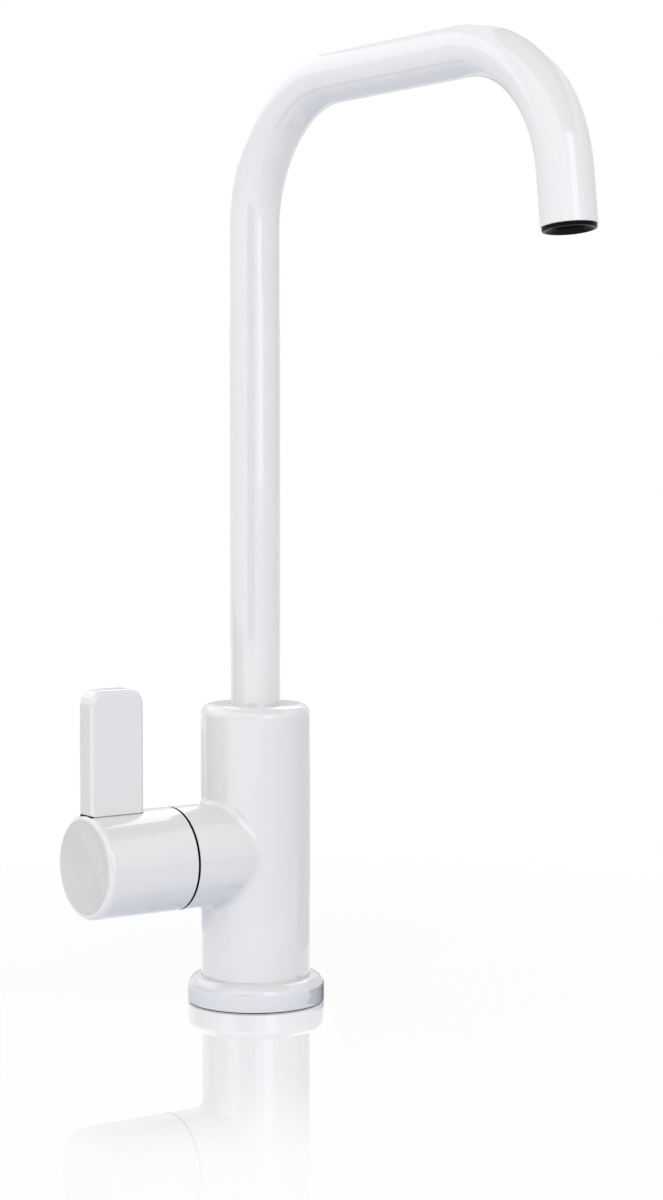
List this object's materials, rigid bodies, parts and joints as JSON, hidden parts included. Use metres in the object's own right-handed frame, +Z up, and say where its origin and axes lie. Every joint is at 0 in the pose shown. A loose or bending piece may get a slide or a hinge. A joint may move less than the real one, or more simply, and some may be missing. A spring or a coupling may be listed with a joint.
{
  "type": "filtered water tap",
  "caption": "Slim white deck-mounted drinking water tap: round column on a base flange, side lever valve, and a tall swivel spout bent from tube with a black outlet.",
  "frame": {"origin": "on the column axis at the deck surface that the base seal rests on", "axes": "+Z up along the column axis, -Y towards the spout outlet and the user, -X out along the handle"},
  "size_m": [0.086, 0.1815, 0.3752],
  "materials": {
    "white_enamel": "gloss",
    "cap_enamel": "satin",
    "black_rubber": "matt",
    "black_plastic": "matt",
    "pale_plastic": "matt",
    "brass": "machined",
    "steel": "plain",
    "ceramic": "lapped"
  },
  "bodies": {
    "tap": {"tap_body": "white_enamel", "base_flange": "white_enamel", "base_seal": "black_rubber", "threaded_tail": "brass", "tail_o_ring": "black_rubber", "deck_rubber_washer": "black_rubber", "deck_steel_washer": "steel", "back_nut": "brass", "cartridge_housing": "brass", "cartridge_o_ring": "black_rubber", "gland_nut": "brass", "seat_seal": "black_rubber", "fixed_ceramic_disc": "ceramic", "spout_keeper_screw": "steel"},
    "spout": {"spout_tube": "white_enamel", "spout_spigot": "brass", "spout_o_rings": "black_rubber", "spout_glide_rings": "pale_plastic", "outlet_insert": "black_plastic", "outlet_o_ring": "black_rubber", "flow_straightener": "black_plastic"},
    "handle": {"handle_barrel": "white_enamel", "handle_end_cap": "cap_enamel", "handle_screw": "steel", "handle_glide_ring": "black_plastic", "lever_blade": "white_enamel", "lever_set_screw": "steel", "valve_spindle": "brass", "moving_ceramic_disc": "ceramic", "spindle_o_ring": "black_rubber", "spindle_circlip": "steel"}
  },
  "joints": [
    {"name": "spout_swivel", "type": "hinge", "parent": "tap", "child": "spout", "pos_m": [0, 0, 0.08], "axis": [0, 0, 1], "continuous": true},
    {"name": "handle_turn", "type": "hinge", "parent": "tap", "child": "handle", "pos_m": [-0.032, 0, 0.049], "axis": [1, 0, 0], "range_deg": [0, 90]}
  ]
}
